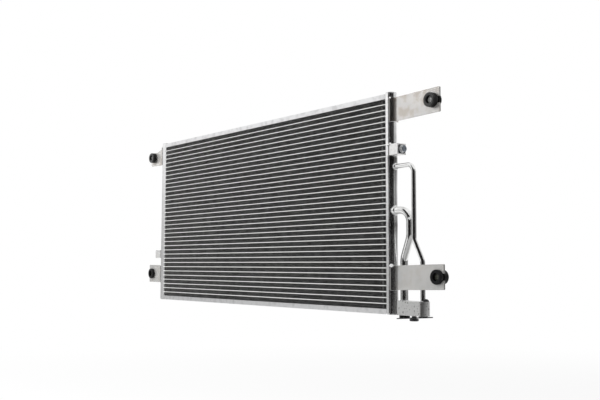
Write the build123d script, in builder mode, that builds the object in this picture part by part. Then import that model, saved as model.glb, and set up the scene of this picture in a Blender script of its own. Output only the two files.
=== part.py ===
from build123d import *
import os
from math import cos, radians, sin, tan

# Parallel-flow air conditioning condenser for a car, in millimetres.
# X runs along the tubes, Y is the depth with the front of the core at -Y, and Z is up.
# The origin is on the axis of the lower right mounting bushing, at the middle of the core's depth.

os.makedirs("parts", exist_ok=True)

# Core
header_pitch = 740.0
tube_count = 35
tube_pitch = 9.5
tube_thickness = 1.9
tube_depth = 16.0
tube_entry = 7.0
fin_depth = 15.2
fin_header_gap = 2.2
gas_pass_tubes = 20

# Side plates, folded channels that close the core above and below
side_plate_height = 8.5
side_plate_wall = 1.2
side_plate_fold_radius = 1.0

# Headers, each brazed from a slotted plate and a tank
plate_radius = 10.0
plate_wall = 1.4
web_stand = 0.1
tank_radius = 9.6
tank_wall = 1.2
seam_reach = 4.1
header_overhang_top = 17.4
header_overhang_bottom = 15.6
slot_clearance = 0.05
cap_flange_radius = 9.2
cap_flange = 1.8
cap_depth = 5.0
cap_edge = 0.6
plug_clearance = 0.05
baffle_thickness = 1.5

# Ears that carry the bushings
ear_wall = 3.0
ear_front = -2.2
ear_corner_radius = 1.5
saddle_wall = 2.0
saddle_lip = 4.6
seat_clearance = 0.1
notch_width = 10.5

# Rubber bushings and their steel sleeves
bushing_radius = 11.5
neck_radius = 7.5
bushing_long_end = 9.8
bushing_short_end = 5.5
bushing_edge = 1.0
groove_play = 0.05
sleeve_radius = 6.2
sleeve_bore_radius = 4.5
sleeve_recess = 4.5

# One entry for each corner: side of the core, height of the ear's axis over the lowest tube where it
# leaves the header, reach of the bushing and of the ear from the header's axis, material below and
# above the ear's axis, upward lean in degrees, rise and foot of the gusset, rise of the saddle
# beside it, and whether the bushing's long end faces the front
corners = {
    "lower_right": dict(side=1, height=41.1, reach=99.5, end=111.6, below=19.5, above=19.5, lean=1.4,
                        gusset=0.0, foot=0.0, saddle_rise=0.0, long_front=False),
    "upper_right": dict(side=1, height=312.9, reach=93.0, end=106.6, below=19.5, above=19.5, lean=1.5,
                        gusset=0.0, foot=0.0, saddle_rise=0.0, long_front=True),
    "upper_left": dict(side=-1, height=311.7, reach=54.0, end=69.0, below=19.0, above=12.0, lean=1.5,
                       gusset=14.0, foot=41.0, saddle_rise=11.0, long_front=True),
    "lower_left": dict(side=-1, height=41.0, reach=56.0, end=70.5, below=19.8, above=19.8, lean=0.0,
                       gusset=0.0, foot=0.0, saddle_rise=0.0, long_front=False),
}

# Plain tab on the left header
tab_reach = 44.5
tab_wall = 2.0
tab_low = 77.0
tab_high = 95.0
tab_saddle_lip = 7.0

# Bolt bracket on the right header, a box open to the right round a threaded boss
box_bottom = 238.2
box_height = 18.0
box_depth = 19.0
box_start = 4.2
box_end = 23.0
box_wall = 2.0
box_corner = 2.5
box_web = 12.0
boss_radius = 5.0
bolt_radius = 3.0
bolt_length = 9.0
bolt_flange_radius = 7.1
bolt_flange_wall = 1.5
bolt_hex_flats = 10.0
bolt_hex_height = 5.1
thread_clearance = 0.05

# Refrigerant pipes
gas_pipe_radius = 6.35
gas_pipe_wall = 1.2
gas_port_height = 149.2
gas_drop_reach = 37.4
gas_drop_y = 3.5
gas_exit_bend = 25.0
gas_top_bend = 19.0
liquid_pipe_radius = 4.0
liquid_pipe_wall = 1.0
liquid_port_height = 220.2
liquid_drop_reach = 50.5
liquid_drop_y = -1.5
liquid_exit_bend = 32.0
liquid_top_bend = 12.0
pipe_jog_bend = 20.0
gas_jog_top = 107.0
gas_jog_bottom = 72.0
liquid_jog_top = 102.5
liquid_jog_bottom = 68.5
pipe_exit = 12.2
pipe_entry = 1.5
collar_wall = 1.5
collar_stand = 1.3
tie_radius = 2.4
tie_height = 135.5
tie_y = -1.4
tie_start = 39.0
tie_round = 1.9

# Connector block at the foot of the pipes
block_left = 10.3
block_right = 75.7
block_front = -7.8
block_bottom = -17.1
block_top = 5.4
block_left_radius = 10.8
block_right_radius = 9.7
block_socket_wall = 2.8
gas_port_reach = 19.2
gas_port_y = 7.9
liquid_port_reach = 61.5
liquid_port_y = 5.6
port_depth = 9.0
line_bore_depth = 8.0
line_bore_gas = 6.0
line_bore_liquid = 4.5
stud_reach = 43.4
stud_y = 4.5
stud_radius = 4.0
stud_head_depth = 8.0

# Shipping cover below the block
cover_left = 12.9
cover_right = 76.6
cover_front = -5.5
cover_back = 13.0
cover_wall = 1.6
cover_corner = 3.0
cover_lean = 4.0
cover_right_gap = 0.6
plug_flange_wall = 2.5
stud_hole_radius = 4.5
cover_nut_flats = 13.0
cover_nut_height = 3.6
dome_reach = 70.6
dome_y = 2.7
dome_radius = 4.7
dome_height = 4.2

# Tack welds of each bracket: radius, angle round the header, and depth below the bracket's upper edge
tack_radius = 2.0
large_tack_radius = 3.6
tacks = {
    "upper_right": [(tack_radius, 54.0, 0.8)],
    "lower_right": [(large_tack_radius, 50.0, 0.5)],
    "upper_left": [(tack_radius, 60.0, 2.0)],
    "lower_left": [(tack_radius, 60.0, 1.5)],
    "bolt_bracket": [(tack_radius, 55.0, -0.6), (tack_radius, 76.0, 1.2)],
}

# Places worked out from the sizes above
datum = corners["lower_right"]
datum_height = datum["height"] + datum["reach"] * tan(radians(datum["lean"]))
right_x = -datum["reach"]
left_x = right_x - header_pitch
base_z = -datum_height
fin_height = tube_pitch - tube_thickness
core_top = base_z + (tube_count - 1) * tube_pitch + tube_thickness / 2 + fin_height
core_bottom = base_z - tube_thickness / 2 - fin_height
header_top = base_z + (tube_count - 1) * tube_pitch + header_overhang_top
header_bottom = base_z - header_overhang_bottom
header_length = header_top - header_bottom
tube_heights = [base_z + i * tube_pitch for i in range(tube_count)]
fin_heights = [base_z + (i - 0.5) * tube_pitch for i in range(tube_count + 1)]
baffle_z = base_z + (gas_pass_tubes - 0.5) * tube_pitch
headers = {"right": (right_x, 1), "left": (left_x, -1)}
header_x = {1: right_x, -1: left_x}
plug_radius = tank_radius - tank_wall - plug_clearance


def save(shape, name):
    """Labels a finished piece and writes its file."""
    shape.label = name
    export_step(shape, f"parts/{name}.step")


def outward(axis_x, side, reach):
    """The YZ plane that lies a reach outside a header's axis, facing away from the core."""
    return Plane(origin=(axis_x + side * reach, 0, 0), x_dir=(0, side, 0), z_dir=(side, 0, 0))


# Flat tubes, one node for each pass, with both ends inside the headers
def make_tubes(name, heights):
    start = left_x + plate_radius - tube_entry
    end = right_x - plate_radius + tube_entry
    with BuildPart() as tubes:
        with BuildSketch(Plane.YZ.offset(start)):
            with Locations(*[(0, z) for z in heights]):
                SlotOverall(tube_depth, tube_thickness)
        extrude(amount=end - start)
    save(tubes.part, name)


make_tubes("tubes_gas_pass", tube_heights[:gas_pass_tubes])
make_tubes("tubes_liquid_pass", tube_heights[gas_pass_tubes:])


# Fin strips, each one closed row as high as the gap between two tubes
def make_fins(name, heights):
    start = left_x + plate_radius + fin_header_gap
    end = right_x - plate_radius - fin_header_gap
    with BuildPart() as fins:
        with BuildSketch(Plane.YZ.offset(start)):
            with Locations(*[(0, z) for z in heights]):
                Rectangle(fin_depth, fin_height)
        extrude(amount=end - start)
    save(fins.part, name)


make_fins("fins_gas_pass", fin_heights[:gas_pass_tubes])
make_fins("fins_liquid_pass", fin_heights[gas_pass_tubes:])


# Side plates: the web lies on the outer fin row and the flanges point away from the core
def make_side_plate(name, web_z, up):
    with BuildPart() as side_plate:
        with BuildSketch(Plane.YZ.offset(left_x)) as section:
            with Locations((0, web_z + up * side_plate_height / 2)):
                Rectangle(tube_depth, side_plate_height)
            with Locations((0, web_z + up * (side_plate_height / 2 + side_plate_wall))):
                Rectangle(tube_depth - 2 * side_plate_wall, side_plate_height, mode=Mode.SUBTRACT)
            folds = section.vertices().filter_by_position(Axis.Z, web_z - 0.01, web_z + 0.01)
            fillet(folds, side_plate_fold_radius)
        extrude(amount=header_pitch)
        with Locations((left_x, 0, web_z), (right_x, 0, web_z)):
            Cylinder(plate_radius, 4 * side_plate_height, mode=Mode.SUBTRACT)
    save(side_plate.part, name)


make_side_plate("side_plate_top", core_top, 1)
make_side_plate("side_plate_bottom", core_bottom, -1)

# Header plates face the core: a slotted web that takes the tube ends, pressed out proud of its flanks
slot_width = tube_depth + 2 * slot_clearance
slot_height = tube_thickness + 2 * slot_clearance
flank_radius = plate_radius - web_stand
for name, (axis_x, side) in headers.items():
    web_place = (axis_x - side * plate_radius, 0)
    with BuildPart() as header_plate:
        with BuildSketch(Plane.XY.offset(header_bottom)):
            with Locations((axis_x, 0)):
                Circle(plate_radius)
                Circle(plate_radius - plate_wall, mode=Mode.SUBTRACT)
            with Locations(web_place):
                Rectangle(2 * plate_radius, slot_width, mode=Mode.INTERSECT)
        extrude(amount=header_length)
        with BuildSketch(Plane.XY.offset(header_bottom)):
            with Locations((axis_x, 0)):
                Circle(flank_radius)
                Circle(flank_radius - plate_wall, mode=Mode.SUBTRACT)
            with Locations(web_place):
                Rectangle(2 * plate_radius, slot_width, mode=Mode.SUBTRACT)
        extrude(amount=header_length)
        split(bisect_by=outward(axis_x, side, seam_reach), keep=Keep.BOTTOM)
        with BuildSketch(outward(axis_x, side, -2 * plate_radius)):
            with Locations(*[(0, z) for z in tube_heights]):
                Rectangle(slot_width, slot_height)
        extrude(amount=2 * plate_radius, mode=Mode.SUBTRACT)
    save(header_plate.part, f"header_plate_{name}")

# Tanks close the headers on the outside, and the right one has a port for each pipe
ports = {gas_port_height: gas_pipe_radius, liquid_port_height: liquid_pipe_radius}
for name, (axis_x, side) in headers.items():
    with BuildPart() as tank:
        with BuildSketch(Plane.XY.offset(header_bottom)):
            with Locations((axis_x, 0)):
                Circle(tank_radius)
                Circle(tank_radius - tank_wall, mode=Mode.SUBTRACT)
        extrude(amount=header_length)
        split(bisect_by=outward(axis_x, side, seam_reach), keep=Keep.TOP)
        if name == "right":
            with BuildSketch(Plane.YZ.offset(right_x)):
                for height, radius in ports.items():
                    with Locations((0, base_z + height)):
                        Circle(radius + slot_clearance)
            extrude(amount=2 * tank_radius, mode=Mode.SUBTRACT)
    save(tank.part, f"header_tank_{name}")

# End caps: a plug inside the header with a flange that lies on its end
for name, (axis_x, side) in headers.items():
    for level, end_z, up in (("top", header_top, 1), ("bottom", header_bottom, -1)):
        with BuildPart() as cap:
            with BuildSketch(Plane.XY.offset(end_z)):
                with Locations((axis_x, 0)):
                    Circle(cap_flange_radius)
            extrude(amount=up * cap_flange)
            with BuildSketch(Plane.XY.offset(end_z)):
                with Locations((axis_x, 0)):
                    Circle(plug_radius)
            extrude(amount=-up * cap_depth)
            chamfer(cap.edges().filter_by(GeomType.CIRCLE).sort_by(Axis.Z)[-1 if up > 0 else 0], cap_edge)
        save(cap.part, f"end_cap_{level}_{name}")

# Baffle that parts the gas side of the right header from the liquid side
with BuildPart() as baffle:
    with BuildSketch(Plane.XY.offset(baffle_z - baffle_thickness / 2)):
        with Locations((right_x, 0)):
            Circle(plug_radius)
    extrude(amount=baffle_thickness)
save(baffle.part, "baffle")


# Ears: a saddle round the tank, and a flat ear with a keyhole notch open to its outer end
def bushing_place(corner):
    """X and Z of a corner's bushing."""
    rise = corner["reach"] * tan(radians(corner["lean"]))
    return header_x[corner["side"]] + corner["side"] * corner["reach"], base_z + corner["height"] + rise


brackets = {}
for name, corner in corners.items():
    side, axis_x = corner["side"], header_x[corner["side"]]
    axis_z = base_z + corner["height"]
    low, high = axis_z - corner["below"], axis_z + corner["above"]
    bushing_x, bushing_z = bushing_place(corner)
    rise = corner["end"] * tan(radians(corner["lean"]))
    end_x = axis_x + side * corner["end"]
    notch_end = side * (corner["end"] - corner["reach"] + ear_wall)
    with BuildPart() as bracket:
        with BuildSketch(Plane.XZ.offset(-ear_front)) as ear:
            outline = [(axis_x, low), (end_x, low + rise), (end_x, high + rise)]
            if corner["gusset"]:
                foot_rise = corner["foot"] * tan(radians(corner["lean"]))
                outline.append((axis_x + side * corner["foot"], high + foot_rise))
            outline.append((axis_x, high + corner["gusset"]))
            with BuildLine():
                Polyline(*outline, close=True)
            make_face()
            fillet(ear.vertices().sort_by(Axis.X)[-2:] if side > 0 else ear.vertices().sort_by(Axis.X)[:2],
                   ear_corner_radius)
            with Locations((bushing_x, bushing_z)):
                Circle(neck_radius + seat_clearance, mode=Mode.SUBTRACT)
            with Locations((bushing_x + notch_end / 2, bushing_z)):
                Rectangle(abs(notch_end), notch_width, mode=Mode.SUBTRACT)
        extrude(amount=-ear_wall)
        with BuildSketch(Plane.XY.offset(low)):
            with Locations((axis_x, 0)):
                Circle(tank_radius + saddle_wall)
            wrap_keep = axis_x + side * (saddle_lip + tank_radius)
            with Locations((wrap_keep, 0)):
                Rectangle(2 * tank_radius, 4 * tank_radius, mode=Mode.INTERSECT)
        extrude(amount=high + corner["saddle_rise"] - low)
        with BuildSketch(Plane.XY.offset(low)):
            with Locations((axis_x, 0)):
                Circle(tank_radius)
        extrude(amount=high + corner["gusset"] + rise - low, mode=Mode.SUBTRACT)
        split(bisect_by=outward(axis_x, side, saddle_lip), keep=Keep.TOP)
    brackets[name] = bracket.part
    save(bracket.part, f"bracket_{name}")

# Rubber bushings, spools that snap into the notches, with a steel sleeve in each
for name, corner in corners.items():
    x, z = bushing_place(corner)
    front_end, rear_end = bushing_short_end, bushing_long_end
    if corner["long_front"]:
        front_end, rear_end = bushing_long_end, bushing_short_end
    groove_front = ear_front - groove_play
    groove_back = ear_front + ear_wall + groove_play
    front, back = ear_front - front_end, ear_front + ear_wall + rear_end
    with BuildPart() as bushing:
        with BuildSketch(Plane.XY.offset(z)) as section:
            with BuildLine():
                Polyline(
                    (x + sleeve_radius, front),
                    (x + bushing_radius, front),
                    (x + bushing_radius, groove_front),
                    (x + neck_radius, groove_front),
                    (x + neck_radius, groove_back),
                    (x + bushing_radius, groove_back),
                    (x + bushing_radius, back),
                    (x + sleeve_radius, back),
                    close=True,
                )
            make_face()
            rims = section.vertices().group_by(Axis.X)[-1].sort_by(Axis.Y)
            chamfer([rims[0], rims[-1]], bushing_edge)
        revolve(axis=Axis((x, 0, z), (0, 1, 0)))
    save(bushing.part, f"bushing_{name}")
    with BuildPart() as sleeve:
        with BuildSketch(Plane.XZ.offset(-front - sleeve_recess)):
            with Locations((x, z)):
                Circle(sleeve_radius)
                Circle(sleeve_bore_radius, mode=Mode.SUBTRACT)
        extrude(amount=-(back - front - 2 * sleeve_recess))
    save(sleeve.part, f"sleeve_{name}")

# Plain tab on the left tank
with BuildPart() as tab:
    with BuildSketch(Plane.XY.offset(base_z + tab_low)):
        with Locations((left_x, 0)):
            Circle(tank_radius + tab_wall)
        with Locations((left_x - tab_saddle_lip - tank_radius, 0)):
            Rectangle(2 * tank_radius, 4 * tank_radius, mode=Mode.INTERSECT)
        with Locations((left_x - tab_reach / 2, 0)):
            Rectangle(tab_reach, tab_wall)
        with Locations((left_x, 0)):
            Circle(tank_radius, mode=Mode.SUBTRACT)
    extrude(amount=tab_high - tab_low)
    split(bisect_by=outward(left_x, -1, tab_saddle_lip), keep=Keep.TOP)
    fillet(tab.edges().filter_by(Axis.Y).sort_by(Axis.X)[:2], tab_wall)
save(tab.part, "locating_tab")

# Bolt bracket: a box seated on the tank's side, open at its outer end round the boss
bolt_x = right_x + box_end
bolt_z = base_z + box_bottom + box_height / 2
with BuildPart() as bolt_box:
    with BuildSketch(Plane.YZ.offset(right_x + box_start)):
        with Locations((0, bolt_z)):
            Rectangle(box_depth, box_height)
    extrude(amount=box_end - box_start)
    with BuildSketch(Plane.YZ.offset(right_x + box_web)):
        with Locations((0, bolt_z)):
            RectangleRounded(box_depth - 2 * box_wall, box_height - 2 * box_wall, box_corner)
            Circle(boss_radius, mode=Mode.SUBTRACT)
    extrude(amount=box_end - box_web, mode=Mode.SUBTRACT)
    with Locations((right_x, 0, bolt_z)):
        Cylinder(tank_radius, 2 * box_height, mode=Mode.SUBTRACT)
    with BuildSketch(Plane.YZ.offset(bolt_x)):
        with Locations((0, bolt_z)):
            Circle(bolt_radius + thread_clearance)
    extrude(amount=-bolt_length, mode=Mode.SUBTRACT)
save(bolt_box.part, "bolt_bracket")

# Flanged bolt, screwed into the boss
with BuildPart() as bolt:
    with BuildSketch(Plane.YZ.offset(bolt_x)):
        with Locations((0, bolt_z)):
            Circle(bolt_flange_radius)
    extrude(amount=bolt_flange_wall)
    with BuildSketch(Plane.YZ.offset(bolt_x + bolt_flange_wall)):
        with Locations((0, bolt_z)):
            RegularPolygon(bolt_hex_flats / 2, 6, major_radius=False)
    extrude(amount=bolt_hex_height)
    with BuildSketch(Plane.YZ.offset(bolt_x)):
        with Locations((0, bolt_z)):
            Circle(bolt_radius)
    extrude(amount=-bolt_length)
save(bolt.part, "bracket_bolt")

# Refrigerant pipes: out of the tank, down beside the header, and back behind the lower ear
block_top_z = base_z + block_top
wall_reach = tank_radius - tank_wall - pipe_entry
gas_route = [
    (right_x + wall_reach, 0, base_z + gas_port_height),
    (right_x + pipe_exit, 0, base_z + gas_port_height),
    (right_x + gas_drop_reach, gas_drop_y, base_z + gas_port_height),
    (right_x + gas_drop_reach, gas_drop_y, base_z + gas_jog_top),
    (right_x + gas_port_reach, gas_port_y, base_z + gas_jog_bottom),
    (right_x + gas_port_reach, gas_port_y, block_top_z - port_depth),
]
gas_bends = [gas_exit_bend, gas_top_bend, pipe_jog_bend, pipe_jog_bend]
liquid_route = [
    (right_x + wall_reach, 0, base_z + liquid_port_height),
    (right_x + pipe_exit, 0, base_z + liquid_port_height),
    (right_x + liquid_drop_reach, liquid_drop_y, base_z + liquid_port_height),
    (right_x + liquid_drop_reach, liquid_drop_y, base_z + liquid_jog_top),
    (right_x + liquid_port_reach, liquid_port_y, base_z + liquid_jog_bottom),
    (right_x + liquid_port_reach, liquid_port_y, block_top_z - port_depth),
]
liquid_bends = [liquid_exit_bend, liquid_top_bend, pipe_jog_bend, pipe_jog_bend]


def make_pipe(name, route, bends, radius, wall):
    with BuildPart() as pipe:
        with BuildLine() as path:
            FilletPolyline(*route, radius=bends)
        with BuildSketch(Plane(path.line @ 0, z_dir=path.line % 0)):
            Circle(radius)
            Circle(radius - wall, mode=Mode.SUBTRACT)
        sweep(path=path.line)
    save(pipe.part, name)


make_pipe("pipe_gas", gas_route, gas_bends, gas_pipe_radius, gas_pipe_wall)
make_pipe("pipe_liquid", liquid_route, liquid_bends, liquid_pipe_radius, liquid_pipe_wall)

# Collars that the pipes are brazed into, seated on the tank
for name, height, radius in (
    ("collar_gas", gas_port_height, gas_pipe_radius),
    ("collar_liquid", liquid_port_height, liquid_pipe_radius),
):
    with BuildPart() as collar:
        with BuildSketch(Plane.YZ.offset(right_x + seam_reach)):
            with Locations((0, base_z + height)):
                Circle(radius + collar_wall)
        extrude(amount=tank_radius + collar_stand - seam_reach)
        chamfer(collar.edges().filter_by(GeomType.CIRCLE).sort_by(Axis.X)[-1], collar_wall / 2)
        with Locations((right_x, 0, base_z + height)):
            Cylinder(tank_radius, 4 * radius, mode=Mode.SUBTRACT)
        with BuildSketch(Plane.YZ.offset(right_x)):
            with Locations((0, base_z + height)):
                Circle(radius)
        extrude(amount=2 * tank_radius, mode=Mode.SUBTRACT)
    save(collar.part, name)

# Tie brazed between the two pipes, so that they don't rattle
with BuildPart() as tie:
    with BuildSketch(Plane.YZ.offset(right_x + tie_start)):
        with Locations((tie_y, base_z + tie_height)):
            Circle(tie_radius)
    extrude(amount=liquid_drop_reach - tie_start)
    fillet(tie.edges().filter_by(GeomType.CIRCLE).sort_by(Axis.X)[0], tie_round)
    with Locations((right_x + gas_drop_reach, gas_drop_y, base_z + tie_height)):
        Cylinder(gas_pipe_radius, 8 * tie_radius, mode=Mode.SUBTRACT)
    with Locations((right_x + liquid_drop_reach, liquid_drop_y, base_z + tie_height)):
        Cylinder(liquid_pipe_radius, 8 * tie_radius, mode=Mode.SUBTRACT)
save(tie.part, "pipe_tie")

# Connector block: pipe sockets above, line bores below and a stud hole between them
block_bottom_z = base_z + block_bottom
stud_x = right_x + stud_reach
pipe_ports = (
    (gas_port_reach, gas_port_y, gas_pipe_radius, line_bore_gas),
    (liquid_port_reach, liquid_port_y, liquid_pipe_radius, line_bore_liquid),
)
with BuildPart() as block:
    with BuildSketch(Plane.XY.offset(block_bottom_z)):
        with Locations((right_x + block_left + block_left_radius, block_front + block_left_radius)):
            Circle(block_left_radius)
        with Locations((right_x + block_right - block_right_radius, block_front + block_right_radius)):
            Circle(block_right_radius)
        with Locations((right_x + gas_port_reach, gas_port_y)):
            Circle(gas_pipe_radius + block_socket_wall)
        make_hull()
    extrude(amount=block_top - block_bottom)
    for reach, y, pipe_radius, bore_radius in pipe_ports:
        with BuildSketch(Plane.XY.offset(block_top_z)):
            with Locations((right_x + reach, y)):
                Circle(pipe_radius)
        extrude(amount=-port_depth, mode=Mode.SUBTRACT)
        with BuildSketch(Plane.XY.offset(block_bottom_z)):
            with Locations((right_x + reach, y)):
                Circle(bore_radius)
        extrude(amount=line_bore_depth, mode=Mode.SUBTRACT)
    with BuildSketch(Plane.XY.offset(block_bottom_z)):
        with Locations((stud_x, stud_y)):
            Circle(stud_radius)
    extrude(amount=stud_head_depth, mode=Mode.SUBTRACT)
save(block.part, "connector_block")

# Shipping cover: a steel plate that leans on the two rubber plugs, held by a stud and nut
cover_angle = radians(cover_lean)
cover_length = (cover_right - cover_left) / cos(cover_angle)
cover_top = Plane(
    origin=(right_x + cover_right, (cover_front + cover_back) / 2, block_bottom_z - cover_right_gap),
    x_dir=(cos(cover_angle), 0, sin(cover_angle)),
    z_dir=(-sin(cover_angle), 0, cos(cover_angle)),
)


def cover_top_z(reach):
    """Height of the cover's upper face at a reach from the right header's axis."""
    return block_bottom_z - cover_right_gap - (cover_right - reach) * tan(cover_angle)


stud_along = (stud_reach - cover_right) / cos(cover_angle)
with BuildPart() as cover:
    with BuildSketch(cover_top):
        with Locations((-cover_length / 2, 0)):
            RectangleRounded(cover_length, cover_back - cover_front, cover_corner)
        with Locations((stud_along, stud_y - (cover_front + cover_back) / 2)):
            Circle(stud_hole_radius, mode=Mode.SUBTRACT)
    extrude(amount=-cover_wall)
save(cover.part, "shipping_cover")

for name, (reach, y, pipe_radius, bore_radius) in zip(("plug_gas", "plug_liquid"), pipe_ports):
    with BuildPart() as plug:
        with BuildSketch(Plane.XY.offset(block_bottom_z)):
            with Locations((right_x + reach, y)):
                Circle(bore_radius)
        extrude(amount=line_bore_depth - plug_flange_wall)
        with BuildSketch(Plane.XY.offset(block_bottom_z)):
            with Locations((right_x + reach, y)):
                Circle(bore_radius + plug_flange_wall)
        extrude(amount=cover_top_z(0) - block_bottom_z)
        split(bisect_by=cover_top, keep=Keep.TOP)
    save(plug.part, name)

nut_corner = cover_nut_flats / 2 / cos(radians(30))
nut_top = cover_top_z(stud_reach - nut_corner) - cover_wall / cos(cover_angle)
with BuildPart() as stud:
    with BuildSketch(Plane.XY.offset(nut_top - cover_nut_height)):
        with Locations((stud_x, stud_y)):
            Circle(stud_radius)
    extrude(amount=block_bottom_z + stud_head_depth - nut_top + cover_nut_height)
save(stud.part, "cover_stud")

with BuildPart() as cover_nut:
    with BuildSketch(Plane.XY.offset(nut_top)):
        with Locations((stud_x, stud_y)):
            RegularPolygon(cover_nut_flats / 2, 6, major_radius=False)
            Circle(stud_radius, mode=Mode.SUBTRACT)
    extrude(amount=-cover_nut_height)
save(cover_nut.part, "cover_nut")

# Domed rubber plug in the drilling on top of the block
dome_sphere = (dome_radius**2 + dome_height**2) / (2 * dome_height)
with BuildPart() as dome:
    with Locations((right_x + dome_reach, dome_y, block_top_z + dome_height - dome_sphere)):
        Sphere(dome_sphere)
    split(bisect_by=Plane.XY.offset(block_top_z), keep=Keep.TOP)
save(dome.part, "drilling_plug")

# Tack welds, small beads of filler where the upper lip of each bracket meets the header
tack_spots = [
    (name, brackets[name], corner["side"], corner["height"] + corner["above"] + corner["saddle_rise"])
    for name, corner in corners.items()
]
tack_spots.append(("bolt_bracket", bolt_box.part, 1, box_bottom + box_height))
for name, bracket_part, side, top in tack_spots:
    with BuildPart() as tack:
        for radius, angle, drop in tacks[name]:
            stand = tank_radius + saddle_wall / 2
            x = header_x[side] + side * stand * cos(radians(angle))
            with Locations((x, -stand * sin(radians(angle)), base_z + top - drop)):
                Sphere(radius)
        with Locations((header_x[side], 0, base_z + top)):
            Cylinder(plate_radius, 8 * large_tack_radius, mode=Mode.SUBTRACT)
        add(bracket_part, mode=Mode.SUBTRACT)
    save(tack.part, f"tack_weld_{name}")
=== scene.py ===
from math import acos, asin, cos, pi, radians, sin, sqrt, tan

import bmesh
import bpy
from mathutils import Matrix, Vector, noise


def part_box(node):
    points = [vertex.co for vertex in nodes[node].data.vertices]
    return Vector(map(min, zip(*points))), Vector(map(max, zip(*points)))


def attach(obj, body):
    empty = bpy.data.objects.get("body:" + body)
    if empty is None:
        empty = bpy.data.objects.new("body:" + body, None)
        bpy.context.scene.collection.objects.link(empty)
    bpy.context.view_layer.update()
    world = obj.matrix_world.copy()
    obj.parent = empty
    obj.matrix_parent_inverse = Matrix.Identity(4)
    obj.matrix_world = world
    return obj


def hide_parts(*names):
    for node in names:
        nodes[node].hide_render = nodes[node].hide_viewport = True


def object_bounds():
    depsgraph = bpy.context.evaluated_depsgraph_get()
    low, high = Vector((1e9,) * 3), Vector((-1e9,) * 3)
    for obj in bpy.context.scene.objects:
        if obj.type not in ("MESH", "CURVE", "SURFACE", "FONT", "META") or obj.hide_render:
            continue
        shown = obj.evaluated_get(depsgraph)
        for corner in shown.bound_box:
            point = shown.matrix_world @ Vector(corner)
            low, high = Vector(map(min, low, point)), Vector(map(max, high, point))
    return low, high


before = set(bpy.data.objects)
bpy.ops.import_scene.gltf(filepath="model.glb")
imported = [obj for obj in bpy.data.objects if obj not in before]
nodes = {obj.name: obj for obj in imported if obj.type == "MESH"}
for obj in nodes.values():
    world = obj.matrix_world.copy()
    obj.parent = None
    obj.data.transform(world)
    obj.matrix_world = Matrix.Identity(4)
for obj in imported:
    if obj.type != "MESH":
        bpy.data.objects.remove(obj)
cad_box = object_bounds()


# Flat tubes, 35 of them, in two passes.
# Each is an aluminium extrusion with rounded noses, 16 mm deep and 1.9 mm thick. Its ends are
# pushed through the slots of the headers and brazed there in the furnace.
mm = 0.001
right_x, left_x, base_z = -99.5 * mm, -839.5 * mm, -43.5317 * mm
tube_pitch, tube_depth, tube_thickness = 9.5 * mm, 16.0 * mm, 1.9 * mm
header_radius, tube_entry = 10.0 * mm, 7.0 * mm
gas_pass_tubes, liquid_pass_tubes = 20, 15
tube_colour, tube_shade = (0.945, 0.958, 0.935), (0.865, 0.875, 0.855)
tube_nose_steps = 8


class Flow:
    """What leaves a socket. Arithmetic on it adds Math nodes to its tree."""

    def __init__(self, board, socket):
        self.board, self.socket = board, socket

    def math(self, operation, *others):
        return self.board.node("ShaderNodeMath", dict(enumerate((self, *others))), operation=operation)

    def other(self, name):
        return Flow(self.board, self.socket.node.outputs[name])

    def __add__(self, value):
        return self.math("ADD", value)

    def __sub__(self, value):
        return self.math("SUBTRACT", value)

    def __rsub__(self, value):
        return self.math("MULTIPLY_ADD", -1.0, value)

    def __mul__(self, value):
        return self.math("MULTIPLY", value)

    def __truediv__(self, value):
        return self.math("DIVIDE", value)

    def __rtruediv__(self, value):
        return self.math("POWER", -1.0) * value

    def __mod__(self, value):
        return self.math("FLOORED_MODULO", value)

    def __gt__(self, value):
        return self.math("GREATER_THAN", value)

    def __lt__(self, value):
        return self.math("LESS_THAN", value)

    __radd__ = __add__
    __rmul__ = __mul__


class Board:
    """A node tree, and the one method that adds a node of any type: settings first, then sockets."""

    def __init__(self, tree):
        self.tree = tree

    def node(self, kind, sockets=None, out=0, **settings):
        made = self.tree.nodes.new(kind)
        for name, value in settings.items():
            if name != "stops":
                setattr(made, name, value)
                continue
            ramp = made.color_ramp.elements
            ramp.remove(ramp[1])
            for place, shade in value:
                stop = ramp[0] if place == value[0][0] else ramp.new(place)
                stop.position, stop.color = place, (shade, shade, shade, 1.0)
        for name, value in (sockets or {}).items():
            socket = made.inputs[name]
            if isinstance(value, (Flow, list)):
                for flow in value if isinstance(value, list) else [value]:
                    self.tree.links.new(flow.socket, socket)
            elif socket.type == "RGBA":
                channels = (value,) * 3 if isinstance(value, float) else value
                socket.default_value = (*channels, 1.0)
            else:
                socket.default_value = value
        return Flow(self, made.outputs[out]) if made.outputs else made

    def vector(self, **axes):
        return self.node("ShaderNodeCombineXYZ", axes)

    def ease(self, value, low, high, start=0.0, end=1.0):
        """Start where value is below low, end where it is above high, and smooth between."""
        limits = {"Value": value, "From Min": low, "From Max": high, "To Min": start, "To Max": end}
        return self.node("ShaderNodeMapRange", limits, interpolation_type="SMOOTHSTEP")

    def tint(self, share, first, second):
        """Two colours mixed, each a grey level, three channels or a socket."""
        return self.node("ShaderNodeMix", {0: share, 6: first, 7: second}, 2, data_type="RGBA")


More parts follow.
